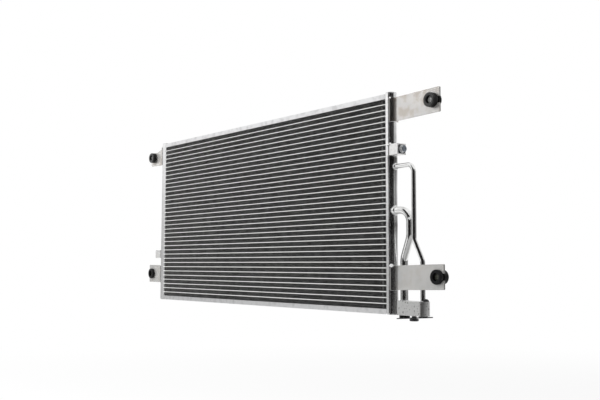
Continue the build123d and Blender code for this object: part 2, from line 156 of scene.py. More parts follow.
class Finish(Board):
    """A material whose patterns are laid out in the part's own coordinates."""

    def __init__(self, name):
        self.material = bpy.data.materials.new(name)
        self.material.use_nodes = True
        super().__init__(self.material.node_tree)
        self.tree.nodes.clear()
        self.place = self.node("ShaderNodeTexCoord", out="Object")

    def grain(self, size, detail=3.0, stretch=(1, 1, 1)):
        """Noise with blotches of about this size in metres, longer where stretch is above 1."""
        scale = tuple(1.0 / (size * s) for s in stretch)
        at = self.node("ShaderNodeMapping", {"Vector": self.place, "Scale": scale})
        return self.node("ShaderNodeTexNoise", {"Vector": at, "Scale": 1.0, "Detail": detail})

    def along(self, axis):
        return self.node("ShaderNodeSeparateXYZ", {"Vector": self.place}, out=axis)

    def rise(self, axis, *limits):
        """The same as ease, of the place along an axis."""
        return self.ease(self.along(axis), *limits)

    def done(self, colour, roughness, metallic=1.0, bumps=(), shine=0.5, coat=0.0):
        sockets = {"Base Color": colour, "Roughness": roughness, "Metallic": metallic,
                   "Specular IOR Level": shine, "Coat Weight": coat, "Coat Roughness": 0.24}
        for height, depth in bumps:
            bump = {"Height": height, "Distance": depth, "Strength": 1.0}
            if "Normal" in sockets:
                bump["Normal"] = sockets["Normal"]
            sockets["Normal"] = self.node("ShaderNodeBump", bump)
        shader = self.node("ShaderNodeBsdfPrincipled", sockets)
        self.node("ShaderNodeOutputMaterial", {"Surface": shader})
        return self.material


def placed(name, data):
    """A new object of the scene, at the origin."""
    made = bpy.data.objects.new(name, data)
    bpy.context.scene.collection.objects.link(made)
    return made


def settled(made):
    """Gives an object the mesh that its modifiers make, and takes them off."""
    shape = made.evaluated_get(bpy.context.evaluated_depsgraph_get())
    mesh = bpy.data.meshes.new_from_object(shape)
    made.modifiers.clear()
    made.data = mesh
    return made


def grown(name, sizes, build, base=None):
    """Runs a Geometry Nodes tree once, on a base mesh where it has one, and keeps the result."""
    tree = bpy.data.node_groups.new(name, "GeometryNodeTree")
    for way in ("INPUT", "OUTPUT"):
        tree.interface.new_socket("Geometry", in_out=way, socket_type="NodeSocketGeometry")
    wanted = {}
    for label, value in sizes.items():
        kind = "NodeSocketInt" if isinstance(value, int) else "NodeSocketFloat"
        wanted[tree.interface.new_socket(label, in_out="INPUT", socket_type=kind).identifier] = value
    board = Board(tree)
    given = board.node("NodeGroupInput").socket.node
    shape = build(board, {s.name: Flow(board, s) for s in given.outputs if s.name})
    board.node("NodeGroupOutput", {"Geometry": shape})
    made = placed(name, base or bpy.data.meshes.new(name))
    modifier = made.modifiers.new(name, "NODES")
    modifier.node_group = tree
    for identifier, value in wanted.items():
        modifier[identifier] = value
    return settled(made)


def plain(board, shape, material, smooth=True):
    """The end of each tree: real geometry in place of instances, with its material."""
    real = board.node("GeometryNodeRealizeInstances", {"Geometry": shape})
    shaded = board.node("GeometryNodeSetShadeSmooth", {"Geometry": real, "Shade Smooth": smooth})
    return board.node("GeometryNodeSetMaterial", {"Geometry": shaded, "Material": material})


def swept(board, line, section, scale=1.0):
    """A section carried along a line and closed at both ends."""
    rod = {"Curve": line, "Profile Curve": section, "Scale": scale, "Fill Caps": True}
    return board.node("GeometryNodeCurveToMesh", rod)


def stacked(board, size, x, piece, turn=(0.0, 0.0, 0.0), shift=(0.0, 0.0, 0.0)):
    """A piece at equal steps in height, each turned and shifted."""
    column = {"Count": size["Count"], "Start Location": board.vector(X=x, Z=size["First height"]),
              "Offset": board.vector(Z=size["Pitch"])}
    points = board.node("GeometryNodeMeshLine", column)
    points = board.node("GeometryNodeSetPosition", {"Geometry": points, "Offset": shift})
    return board.node("GeometryNodeInstanceOnPoints", {"Points": points, "Instance": piece, "Rotation": turn})


def creased(made, angle):
    """Smooth shading that stays sharp at edges steeper than an angle."""
    made.data.shade_smooth()
    made.data.set_sharp_from_angle(angle=radians(angle))
    return made


def fitted(made):
    """Hangs a finished piece on the part, in place of the node that it is named for, if any."""
    if made.name.endswith("_dressed"):
        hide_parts(made.name.removesuffix("_dressed"))
    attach(made, "root")


def tube_finish():
    finish = Finish("extruded_aluminium")
    drawn = finish.grain(0.12 * mm, 3.0, (60, 1, 1))
    cloud = finish.grain(9.0 * mm, 4.0, (3, 1, 1))
    colour = finish.tint(finish.ease(cloud, 0.4, 0.75), tube_colour, tube_shade)
    return finish.done(colour, 0.26 + 0.12 * cloud, bumps=[(drawn, 0.003 * mm)])


tube_material = tube_finish()


def tubes(board, size):
    ends = {"Start": board.vector(X=size["Left end"]), "End": board.vector(X=size["Right end"])}
    line = board.node("GeometryNodeCurvePrimitiveLine", ends)
    line = board.node("GeometryNodeSetCurveNormal", {"Curve": line}, mode="Z_UP")
    section = board.node("GeometryNodeCurvePrimitiveQuadrilateral",
                         {"Width": size["Depth"], "Height": size["Thickness"]})
    nose = {"Curve": section, "Count": tube_nose_steps, "Radius": size["Thickness"] * 0.499,
            "Limit Radius": True}
    section = board.node("GeometryNodeFilletCurve", nose, mode="POLY")
    tube = swept(board, line, section)
    return plain(board, stacked(board, size, 0.0, tube), tube_material)


for name, count, first in (
    ("tubes_gas_pass", gas_pass_tubes, 0),
    ("tubes_liquid_pass", liquid_pass_tubes, gas_pass_tubes),
):
    sizes = {
        "Left end": left_x + header_radius - tube_entry,
        "Right end": right_x - header_radius + tube_entry,
        "Depth": tube_depth,
        "Thickness": tube_thickness,
        "First height": base_z + first * tube_pitch,
        "Pitch": tube_pitch,
        "Count": count,
    }
    fitted(creased(grown(f"{name}_dressed", sizes, tubes), 50.0))


# Fin strips, 36 rows of thin aluminium foil folded to and fro between the tubes.
# Every fold's crest is brazed to a tube. The folds stand 1.4 mm apart and have louvres pressed
# into them, and the outermost rows lie against the side plates.
fin_pitch, fin_crest, fin_foil = 1.42 * mm, 0.36 * mm, 0.1 * mm
fin_depth, fin_height, fin_gap = 15.2 * mm, 7.6 * mm, 12.2 * mm
fin_length, fin_slack = right_x - left_x - 2 * fin_gap, 2.0 * mm
fin_wander, fin_shift = 0.05 * mm, 1.2 * mm
louvre_pitch = 1.1 * mm


def fin_end_shade(finish):
    """The last fold at each end, with painted shade that deepens towards the back, where the header closes the
    gap.
    """
    right = finish.rise("X", right_x - 17.9 * mm, right_x - 17.3 * mm)
    left = finish.rise("X", left_x + 13.5 * mm, left_x + 14.3 * mm, 1.0, 0.0)
    return (right + left) * finish.rise("Y", -5.5 * mm, -1.5 * mm, 0.45, 0.93)


def fin_finish():
    finish = Finish("fin_foil")
    cloud = finish.grain(14.0 * mm, 4.0)
    louvre = (finish.along("Y") % louvre_pitch) / louvre_pitch
    slit = finish.ease(louvre, 0.62, 0.8) * (1.0 - finish.ease(louvre, 0.86, 1.0))
    colour = finish.tint(finish.ease(cloud, 0.3, 0.75), (0.52, 0.515, 0.515), (0.40, 0.395, 0.395))
    colour = finish.tint(slit * 0.7, colour, 0.08)
    # Painted shade on the last folds beside the headers, darkest at the back
    colour = finish.tint(fin_end_shade(finish), colour, 0.03)
    return finish.done(colour, 0.42 + 0.15 * cloud, bumps=[(slit, 0.05 * mm)])


fin_material = fin_finish()


def fins(board, size):
    index = board.node("GeometryNodeInputIndex")
    step = index % 4.0
    low = step > 1.5
    across = (index / 4.0).math("FLOOR") * size["Fold"] * 2.0 + low * size["Fold"]
    across = across + (step % 2.0) * size["Crest"]
    wander = board.node("FunctionNodeRandomValue", {2: -fin_wander, 3: fin_wander, "ID": index, "Seed": 5}, 1)
    place = board.vector(X=across + wander, Z=(0.5 - low) * (size["Height"] - size["Foil"]))
    points = board.node("GeometryNodeMeshLine", {"Count": size["Corners"]})
    folded = board.node("GeometryNodeSetPosition", {"Geometry": points, "Position": place})
    line = board.node("GeometryNodeMeshToCurve", {"Mesh": folded})
    line = board.node("GeometryNodeSetCurveNormal", {"Curve": line, "Normal": (0.0, 1.0, 0.0)}, mode="FREE")
    section = board.node("GeometryNodeCurvePrimitiveQuadrilateral",
                         {"Width": size["Depth"], "Height": size["Foil"]})
    strip = swept(board, line, section)
    shift = board.vector(X=board.node("FunctionNodeRandomValue", {2: 0.0, 3: fin_shift, "Seed": 3}, 1))
    rows = stacked(board, size, size["Left end"], strip, shift=shift)
    return plain(board, rows, fin_material, False)


for name, rows, first in (
    ("fins_gas_pass", gas_pass_tubes, 0),
    ("fins_liquid_pass", liquid_pass_tubes + 1, gas_pass_tubes),
):
    sizes = {
        "Left end": left_x + fin_gap,
        "Fold": fin_pitch,
        "Crest": fin_crest,
        "Foil": fin_foil,
        "Depth": fin_depth,
        "Height": fin_height,
        "Corners": 4 * int((fin_length - fin_slack) / fin_pitch / 2),
        "First height": base_z + (first - 0.5) * tube_pitch,
        "Pitch": tube_pitch,
        "Count": rows,
    }
    fitted(grown(f"{name}_dressed", sizes, fins))


# Side plates, two channels rolled from aluminium sheet that close the core above and below.
# Each lies with its web on the outermost row of fins, turns its flanges outwards, and is brazed
# to the fins and to both headers.
plate_colour, merge_gap = (0.86, 0.862, 0.865), 0.0005 * mm


def aluminium(name, colour, gloss, grain, run=(1, 1, 1), stain=0.12):
    """Bare aluminium with mill lines along its run and faint clouds of flux."""
    finish = Finish(name)
    lines = finish.grain(grain, 3.0, run)
    cloud = finish.grain(11.0 * mm, 5.0)
    speck = finish.ease(finish.grain(1.6 * mm), 0.62, 0.74)
    darker = tuple(c * (1.0 - 1.6 * stain) for c in colour)
    tone = finish.tint(finish.ease(cloud, 0.42, 0.72) * 0.9 + speck * stain, colour, darker)
    rough = gloss + 0.06 * finish.ease(cloud, 0.35, 0.75) + 0.4 * stain * speck
    return finish.done(tone, rough, bumps=[(lines, 0.001 * mm), (cloud, 0.004 * mm)])


def dressed(node, material, edge=0.25 * mm):
    """A merged copy of a CAD node with its sharp edges rounded off."""
    made = placed(f"{node}_dressed", bpy.data.meshes.new(f"{node}_dressed"))
    shape = bmesh.new()
    shape.from_mesh(nodes[node].data)
    bmesh.ops.remove_doubles(shape, verts=shape.verts, dist=merge_gap)
    bmesh.ops.dissolve_limit(shape, angle_limit=radians(0.5), verts=shape.verts, edges=shape.edges)
    shape.to_mesh(made.data)
    shape.free()
    bevel = made.modifiers.new("rounded", "BEVEL")
    bevel.width, bevel.segments, bevel.limit_method = edge, 2, "ANGLE"
    bevel.angle_limit, bevel.use_clamp_overlap = radians(32.0), True
    even = made.modifiers.new("flat_faces", "WEIGHTED_NORMAL")
    even.keep_sharp = True
    made.data.shade_smooth()
    settled(made)
    made.data.materials.clear()
    made.data.materials.append(material)
    return made


side_plate_material = aluminium("rolled_aluminium", plate_colour, 0.30, 0.15 * mm, (60, 1, 1))
for name in ("side_plate_top", "side_plate_bottom"):
    fitted(dressed(name, side_plate_material))


# Headers, one upright at each end of the core.
# Each is a slotted plate of clad sheet that faces the core and a tank that closes it outside, both
# drawn round and brazed along two seams. The solder leaves a small fillet round each tube's root.
plate_wall, tank_radius, tank_wall = 1.4 * mm, 9.6 * mm, 1.2 * mm
web_stand, web_half = 0.1 * mm, 8.05 * mm
seam_reach, wall_steps, root_steps = 4.1 * mm, 96, 32
top_tube_z = base_z + (gas_pass_tubes + liquid_pass_tubes - 1) * tube_pitch
header_bottom, header_top = base_z - 15.6 * mm, top_tube_z + 17.4 * mm
header_sides = (("right", right_x, 1), ("left", left_x, -1))


def header_finish():
    """Drawn aluminium, darker in bands at set heights on the right tank's outer side, under the bolt bracket
    and below the gas collar.
    """
    finish = Finish("drawn_header")
    lines, cloud = finish.grain(0.12 * mm, 3.0, (1, 1, 50)), finish.grain(11.0 * mm, 5.0)
    dark_band_top = 300.0 * mm
    dark_band_stops = ((0.0, 0.45), (0.08, 0.45), (0.12, 0.0), (0.35, 0.0), (0.42, 0.68), (0.47, 0.1),
                   (0.62, 0.0), (0.72, 0.6), (0.78, 0.95), (0.80, 0.0))
    # Darker bands at set heights, on the right tank's outer side only
    height = (finish.along("Z") - base_z) / dark_band_top
    dark_bands = finish.node("ShaderNodeValToRGB", {"Fac": height}, stops=dark_band_stops)
    dark_bands = dark_bands * finish.rise("X", right_x - 2.0 * mm, right_x + 4.0 * mm)
    tone = finish.tint(finish.ease(cloud, 0.42, 0.72), 0.93, 0.84)
    tone = finish.tint(dark_bands, tone, (0.16, 0.155, 0.15))
    return finish.done(tone, 0.19 + 0.05 * cloud, bumps=[(lines, 0.001 * mm), (cloud, 0.004 * mm)])


header_material = header_finish()
solder_material = aluminium("solder", (0.84, 0.843, 0.85), 0.24, 0.5 * mm, stain=0.2)


def new_piece(name, points, faces, material):
    """An object of points and faces, closed at its seams, with its faces outwards."""
    mesh = bpy.data.meshes.new(name)
    mesh.from_pydata(points, [], faces)
    mesh.materials.append(material)
    made = placed(name, mesh)
    shape = bmesh.new()
    shape.from_mesh(mesh)
    bmesh.ops.remove_doubles(shape, verts=shape.verts, dist=merge_gap)
    bmesh.ops.dissolve_degenerate(shape, dist=merge_gap, edges=shape.edges)
    bmesh.ops.delete(shape, geom=[e for e in shape.edges if not e.link_faces], context="EDGES")
    bmesh.ops.recalc_face_normals(shape, faces=shape.faces)
    shape.to_mesh(mesh)
    shape.free()
    return made


def full_turn(steps):
    return [2 * pi * i / steps for i in range(steps)]


def banded(count, rings, bands):
    """Faces between rings of count points; the last band may lead back to the first ring."""
    starts = [(k * count, (k + 1) % rings * count) for k in range(bands)]
    return [(here + i, here + (i + 1) % count, after + (i + 1) % count, after + i)
            for here, after in starts for i in range(count)]


def shell(name, axis_x, facing, outer, inner, half_angle):
    """An upright wall round a header's axis, between two radii that may vary with the angle."""
    turns = [half_angle * (2 * i / wall_steps - 1) for i in range(wall_steps + 1)]
    outline = [(outer(a) * cos(facing + a), outer(a) * sin(facing + a)) for a in turns]
    outline += [(inner(a) * cos(facing + a), inner(a) * sin(facing + a)) for a in reversed(turns)]
    rim = 0.4 * mm
    levels = [header_bottom, header_bottom + rim, header_top - rim, header_top]
    points = [(axis_x + x, y, z) for z in levels for x, y in outline]
    count = len(outline)
    faces = banded(count, 4, 3)
    for base in (0, 3 * count):
        faces += [(base + i, base + i + 1, base + count - 2 - i, base + count - 1 - i)
                  for i in range(wall_steps)]
    return creased(new_piece(name, points, faces, header_material), 40.0)


def flank(angle):
    """How far the plate's outside lies from its axis: the slotted web stands proud of the flanks."""
    slope = 0.6 * mm
    past = (header_radius * abs(sin(angle)) - web_half) / slope
    return header_radius - web_stand * min(1.0, max(0.0, past if abs(angle) < pi / 2 else 1.0))


def beads(name, routes, radius, material, wobble=0.3, closed=False):
    """Thin runs of solder along routes of points, with the uneven width of a real run."""
    points, edges = [], []
    for route in routes:
        start = len(points)
        points += route
        edges += [(start + i, start + i + 1) for i in range(len(route) - 1)]
        if closed:
            edges.append((len(points) - 1, start))
    base = bpy.data.meshes.new(name)
    base.from_pydata(points, edges, [])

    def run(board, size):
        line = board.node("GeometryNodeMeshToCurve", {"Mesh": size["Geometry"]})
        line = board.node("GeometryNodeResampleCurve", {"Curve": line, "Length": size["Step"]}, mode="LENGTH")
        swell = board.node("ShaderNodeTexNoise", {"Scale": 0.45 / size["Radius"], "Detail": 1.0})
        thick = 1.0 + (swell - 0.5) * 2.0 * size["Wobble"]
        section = board.node("GeometryNodeCurvePrimitiveCircle", {"Resolution": 8, "Radius": size["Radius"]})
        return plain(board, swept(board, line, section, thick), material)

    return grown(name, {"Radius": radius, "Step": radius * 1.6, "Wobble": wobble}, run, base)


for name, axis_x, side in header_sides:
    facing = pi if side > 0 else 0.0
    plate_half = pi / 2 + asin(seam_reach / flank(pi / 2 + 0.3))
    plate = shell(f"header_plate_{name}_dressed", axis_x, facing, flank,
                  lambda a: flank(a) - plate_wall, plate_half)
    fitted(plate)
    tank_half = pi / 2 - asin(seam_reach / tank_radius)
    tank = shell(f"header_tank_{name}_dressed", axis_x, pi - facing, lambda a: tank_radius,
                 lambda a: tank_radius - tank_wall, tank_half)
    fitted(tank)

seam_y, seam_end = sqrt(tank_radius**2 - seam_reach**2), 1.0 * mm
seams = [
    [(axis_x + side * seam_reach, y, z) for z in (header_bottom + seam_end, header_top - seam_end)]
    for name, axis_x, side in header_sides for y in (-seam_y, seam_y)
]
fitted(beads("header_seams", seams, 0.34 * mm, solder_material))

# The root fillet is made once on the right header and repeated up both headers
root_points, plate_edge, nose_radius = [], 9.4 * mm, tube_thickness / 2
for stand, spread in ((1.0, -0.02), (0.28, 0.12), (0.03, 0.75), (-0.5, 0.8), (-0.5, -0.3)):
    for turn in full_turn(root_steps):
        y = (tube_depth - tube_thickness) / 2 * (1 if cos(turn) > 0 else -1) + nose_radius * cos(turn)
        y, z = y + cos(turn) * spread * 0.3 * mm, nose_radius * sin(turn) + sin(turn) * spread * mm
        plate_x = -sqrt(header_radius**2 - min(abs(y), plate_edge)**2)
        root_points.append((plate_x - stand * mm, y, z))
root = new_piece("tube_root", root_points, banded(root_steps, 5, 5), solder_material)


def roots(board, size):
    """The root fillet at each tube's height, turned round for the left header."""
    columns = [stacked(board, size, size[header], size["Geometry"], (0.0, 0.0, turn))
               for header, turn in (("Right header", 0.0), ("Left header", pi))]
    return plain(board, board.node("GeometryNodeJoinGeometry", {"Geometry": columns}), solder_material)


sizes = {
    "Right header": right_x,
    "Left header": left_x,
    "First height": base_z,
    "Pitch": tube_pitch,
    "Count": gas_pass_tubes + liquid_pass_tubes,
}
fitted(creased(grown("tube_roots", sizes, roots, root.data), 60.0))
bpy.data.objects.remove(root)
# The baffle inside the right header is of the same aluminium
nodes["baffle"].data.materials.clear()
nodes["baffle"].data.materials.append(header_material)


# End caps, four round aluminium stampings.
# Each is a plug pressed into the header's end, with a flange that lies on the rim and a shallow
# dish in its middle, and is brazed in with a ring of solder.


def turned(node, outline, centre, axis, material, steps=72, angle=30.0):
    """A piece for a node, from radius and height pairs turned about an axis."""
    first, second, up = (Matrix.Identity(3)[("XYZ".index(axis) + k) % 3] for k in (1, 2, 3))
    points = []
    for turn in full_turn(steps):
        ring = outline(turn) if callable(outline) else outline
        out = first * cos(turn) + second * sin(turn)
        points += [Vector(centre) + out * r + up * h for r, h in ring]
    faces = banded(len(ring), steps, steps)
    return creased(new_piece(f"{node}_dressed", points, faces, material), angle)


def arc(centre_r, centre_h, radius, start, end, steps=4):
    """Points of a rounded corner, between two angles in degrees."""
    angles = [radians(start + (end - start) * i / steps) for i in range(steps + 1)]
    return [(centre_r + radius * cos(a), centre_h + radius * sin(a)) for a in angles]


cap_radius, cap_flange, cap_depth, cap_plug = 9.2 * mm, 1.8 * mm, 5.0 * mm, 8.35 * mm
cap_dish, cap_edge = 0.9 * mm, 0.6 * mm
cap_material = aluminium("stamped_cap", (0.80,) * 3, 0.26, 0.3 * mm, stain=0.2)
for name, axis_x, side in header_sides:
    for level, end_z, up in (("top", header_top, 1), ("bottom", header_bottom, -1)):
        outline = [(0.0, cap_dish), (5.4 * mm, cap_dish)]
        outline += arc(6.3 * mm, cap_flange - 0.5 * mm, 0.5 * mm, 180, 90, 3)
        outline += arc(cap_radius - cap_edge, cap_flange - cap_edge, cap_edge, 90, 0)
        outline += [(cap_radius, 0.0), (cap_plug, 0.0), (cap_plug, -cap_depth), (0.0, -cap_depth)]
        outline = [(r, up * h) for r, h in outline]
        centre = (axis_x, 0, end_z)
        fitted(turned(f"end_cap_{level}_{name}", outline, centre, "Z", cap_material))

ring_steps, rim_gap = 40, 0.05 * mm


def level_ring(centre, radius):
    """A level circle of points for a bead."""
    x, y, z = centre
    return [(x + radius * cos(turn), y + radius * sin(turn), z) for turn in full_turn(ring_steps)]


cap_rings = [level_ring((axis_x, 0.0, z), cap_radius + 0.1 * mm) for name, axis_x, side in header_sides
             for z in (header_bottom - rim_gap, header_top + rim_gap)]
fitted(beads("cap_solder", cap_rings, 0.32 * mm, solder_material, 0.25, True))


# Ears, four flat brackets that carry the condenser in the car.
# Each is an aluminium extrusion sawn to length: a saddle that hugs the header and a flat ear whose
# end is notched like a keyhole for a bushing. The furnace leaves its faces mottled and warm.


def ear_finish(name, colour, heat, sawn=0.6):
    """Mottled by heat, dull under flux, bright at the saddle and dark on the sawn edges."""
    finish = Finish(name)
    mottle = finish.grain(15.0 * mm, 4.0)
    patch = finish.grain(34.0 * mm, 2.0)
    saw = finish.grain(0.1 * mm, 3.0, (1, 1, 40))
    pit = finish.ease(finish.grain(2.4 * mm, 2.0), 0.70, 0.76)
    warm = tuple(c * f for c, f in zip(colour, (0.80, 0.755, 0.715)))
    cool = tuple(c * f for c, f in zip(colour, (0.92, 0.93, 0.94)))
    tone = finish.tint(finish.ease(patch, 0.4, 0.62), colour, cool)
    tone = finish.tint(finish.ease(mottle, 0.44, 0.66) * heat, tone, warm)
    tone = finish.tint(pit * 0.6, tone, (0.42, 0.41, 0.39))
    rough = 0.20 + 0.06 * finish.ease(mottle, 0.4, 0.65)
    reach = (finish.along("X") - right_x).math("MAXIMUM", left_x - finish.along("X"))
    lip = 1.0 - finish.ease(reach, 5.2 * mm, 7.4 * mm)
    root = finish.ease(reach, 11.0 * mm, 11.8 * mm) * (1.0 - finish.ease(reach, 12.6 * mm, 14.0 * mm))
    flat = finish.ease(reach, 12.5 * mm, 16.0 * mm)
    edge = flat * finish.rise("Y", -2.1 * mm, -1.9 * mm) * (finish.along("Y") < 0.6 * mm)
    tone = finish.tint(edge * sawn, tone, (0.16, 0.16, 0.155))
    return finish.done(tone, rough, 1.0 - 0.5 * (lip + root) - 0.5 * flat,
                       bumps=[(saw, 0.0015 * mm), (mottle, 0.005 * mm), (pit, -0.006 * mm)])


ear_materials = {
    "lower": ear_finish("mottled_ear", (0.575, 0.568, 0.552), 0.3),
    "upper": ear_finish("heat_stained_ear", (0.615, 0.60, 0.58), 1.0),
}
for name in ("lower_right", "upper_right", "upper_left", "lower_left"):
    fitted(dressed(f"bracket_{name}", ear_materials[name.split("_")[0]], 0.3 * mm))


# Bushings, four rubber spools snapped into the notches, each with a steel sleeve for the bolt.
# They are moulded in one shot with soft rims, and the bore is recessed to the sleeve at each end.
# The longer end faces the front on the upper ones and the back on the lower ones.
ear_front, ear_wall, groove_play = -2.2 * mm, 3.0 * mm, 0.05 * mm
bushing_radius, neck_radius, long_end, short_end = 11.5 * mm, 7.5 * mm, 9.8 * mm, 5.5 * mm
bushing_rim, groove_rim, bore_rim = 1.3 * mm, 0.4 * mm, 0.5 * mm
sleeve_radius, sleeve_bore, sleeve_recess, sleeve_lip = 6.2 * mm, 4.5 * mm, 4.5 * mm, 0.25 * mm
ear_lean = tan(radians(1.5))


def rubber(name, colour, rough, dusty, polish=0.0):
    """Black rubber, dustier towards the top, with a polish on the face that stands out in front."""
    finish = Finish(name)
    skin = finish.grain(0.5 * mm)
    dust = finish.ease(finish.grain(5.0 * mm, 4.0), 0.45, 0.8) * 0.4
    dust = dust + 0.6 * finish.rise("Z", 60.0 * mm, 250.0 * mm)
    tone = finish.tint(dust, colour, dusty)
    side = finish.rise("Y", -11.4 * mm, -10.2 * mm)
    return finish.done(tone, rough + 0.10 * dust, 0.0, [(skin, 0.012 * mm)], 0.15, polish * (1.0 - side))


rubber_materials = {
    "lower": rubber("clean_rubber", (0.007, 0.007, 0.0075), 0.42, 0.016),
    "upper": rubber("polished_rubber", (0.006, 0.006, 0.0065), 0.50, 0.014, 1.0),
}


def sleeve_finish():
    """Turned steel, dull and darker on the lower sleeves."""
    finish = Finish("sleeve_steel")
    lines, cloud = finish.grain(0.1 * mm, 2.0, (1, 30, 1)), finish.grain(2.0 * mm)
    tone = finish.tint(cloud, (0.80, 0.81, 0.80), (0.50, 0.50, 0.49))
    tone = finish.tint(finish.rise("Z", 0.0, 250.0 * mm), (0.14, 0.145, 0.12), tone)
    return finish.done(tone, 0.35 + 0.2 * cloud, bumps=[(lines, 0.003 * mm)])


sleeve_material = sleeve_finish()
bushing_places = {
    "lower_right": (0.0, 0.0, False),
    "upper_right": (right_x + 93.0 * mm, base_z + (312.9 + 93.0 * ear_lean) * mm, True),
    "upper_left": (left_x - 54.0 * mm, base_z + (311.7 + 54.0 * ear_lean) * mm, True),
    "lower_left": (left_x - 56.0 * mm, base_z + 41.0 * mm, False),
}


def spool_end(end, groove, way):
    """Half of a bushing's section, from the neck in the groove round its rim to the bore."""
    half = [(neck_radius, groove)]
    half += arc(bushing_radius - groove_rim, groove + way * groove_rim, groove_rim, way * -90, 0, 3)
    half += arc(bushing_radius - bushing_rim, end - way * bushing_rim, bushing_rim, 0, way * 90, 6)
    return half + arc(sleeve_radius + bore_rim, end - way * bore_rim, bore_rim, way * 90, way * 180, 3)


for name, (x, z, long_front) in bushing_places.items():
    front = ear_front - (long_end if long_front else short_end)
    back = ear_front + ear_wall + (short_end if long_front else long_end)
    outline = spool_end(front, ear_front - groove_play, -1)[::-1]
    outline += spool_end(back, ear_front + ear_wall + groove_play, 1)
    skin = rubber_materials[name.split("_")[0]]
    fitted(turned(f"bushing_{name}", outline, (x, 0, z), "Y", skin))
    low, high = front + sleeve_recess, back - sleeve_recess
    inner, outer = sleeve_bore + sleeve_lip, sleeve_radius - sleeve_lip
    outline = [(inner, low), (outer, low), (sleeve_radius, low + sleeve_lip),
               (sleeve_radius, high - sleeve_lip), (outer, high), (inner, high),
               (sleeve_bore, high - sleeve_lip), (sleeve_bore, low + sleeve_lip)]
    fitted(turned(f"sleeve_{name}", outline, (x, 0, z), "Y", sleeve_material, 56))


# Locating tab, a bent strip of aluminium brazed to the left tank.
# It only keeps the core in line while the car's front end is fitted, so it has no hole.
fitted(dressed("locating_tab", ear_finish("mottled_tab", (0.68, 0.678, 0.67), 0.25, 0.0)))


# Bolt bracket, an aluminium box brazed to the side of the right tank.
# It is open at its outer end round a threaded boss, and a flanged zinc-plated bolt is screwed into
# the boss, where a clip of the car's own lines goes.
bolt_place = (right_x + 23.0 * mm, 0.0, base_z + 247.2 * mm)
pocket_half_depth, pocket_half_height = 7.6 * mm, 7.1 * mm


def box_finish():
    """White outside, with painted shade in the pocket round the boss, where it is coloured almost black."""
    finish = Finish("cast_bracket")
    cloud = finish.grain(5.0 * mm, 4.0)
    tone = finish.tint(finish.ease(cloud, 0.45, 0.7), (0.96, 0.955, 0.945), (0.86, 0.85, 0.835))
    # Painted shade: the inside of the pocket round the boss is coloured almost black
    across = finish.along("Y").math("ABSOLUTE") < pocket_half_depth
    upright = (finish.along("Z") - bolt_place[2]).math("ABSOLUTE") < pocket_half_height
    pocket = across * upright * (finish.along("X") < bolt_place[0] - 0.5 * mm)
    return finish.done(finish.tint(pocket, tone, 0.03), 0.26 + 0.1 * cloud)


fitted(dressed("bolt_bracket", box_finish(), 0.3 * mm))


def hexagon(flats, turn):
    """Distance from a hexagon's middle to its side at a turn."""
    return flats / 2 / cos(turn % (pi / 3) - pi / 6)


def threaded(radius, depth, pitch, low, high):
    """The flank of a thread in an outline, from low to high, as rings and not a helix."""
    count = int(abs(high - low) / pitch)
    step = (high - low) / count
    return [(radius - depth * inward, low + step * (i + part)) for i in range(count)
            for inward, part in ((1, 0.1), (0, 0.5), (0, 0.6))]


bolt_flange, bolt_flange_wall, bolt_flats, bolt_hex = 7.1 * mm, 1.5 * mm, 10.0 * mm, 5.1 * mm
bolt_top, bolt_shank, bolt_length = bolt_flange_wall + bolt_hex, 3.0 * mm, 9.0 * mm


def bolt_finish():
    """Blue zinc on the head's end, brighter on its flanks, and painted shade on the flange, which sits in the
    dark pocket.
    """
    finish = Finish("zinc_bolt")
    cloud, out = finish.grain(2.5 * mm, 4.0), finish.along("X") - bolt_place[0]
    face = finish.tint(finish.ease(cloud, 0.35, 0.7), (0.27, 0.30, 0.34), (0.17, 0.19, 0.22))
    # Painted shade: the flange under the head is coloured almost black
    tone = finish.tint(finish.ease(out, 0.9 * mm, 1.4 * mm), (0.05, 0.05, 0.055), (0.70, 0.71, 0.72))
    tone = finish.tint(finish.ease(out, bolt_top - 1.0 * mm, bolt_top - 0.6 * mm), tone, face)
    return finish.done(tone, 0.30 + 0.12 * cloud, bumps=[(finish.grain(0.25 * mm), 0.004 * mm)])


def bolt_outline(turn):
    """Half the bolt's section: a dished head, a domed flange and the threaded shank."""
    side, flat, dish = hexagon(bolt_flats, turn), bolt_flats / 2 * 0.94, bolt_top - 0.35 * mm
    outline = [(0.0, dish), (2.6 * mm, dish), (3.1 * mm, bolt_top), (flat, bolt_top)]
    outline += [(side, bolt_top - (side - flat) * 0.55), (side, bolt_flange_wall + 0.15 * mm)]
    outline += [(side + 0.25 * mm, bolt_flange_wall - 0.02 * mm), (bolt_flange - 0.35 * mm, 0.75 * mm)]
    outline += [(bolt_flange, 0.5 * mm), (bolt_flange, 0.15 * mm), (bolt_flange - 0.15 * mm, 0.0)]
    outline += [(bolt_shank, 0.0), (bolt_shank, -0.4 * mm)]
    outline += threaded(bolt_shank, 0.45 * mm, 1.0 * mm, -0.4 * mm, 0.6 * mm - bolt_length)
    return outline + [(2.4 * mm, -bolt_length), (0.0, -bolt_length)]


fitted(turned("bracket_bolt", bolt_outline, bolt_place, "X", bolt_finish(), angle=24.0))


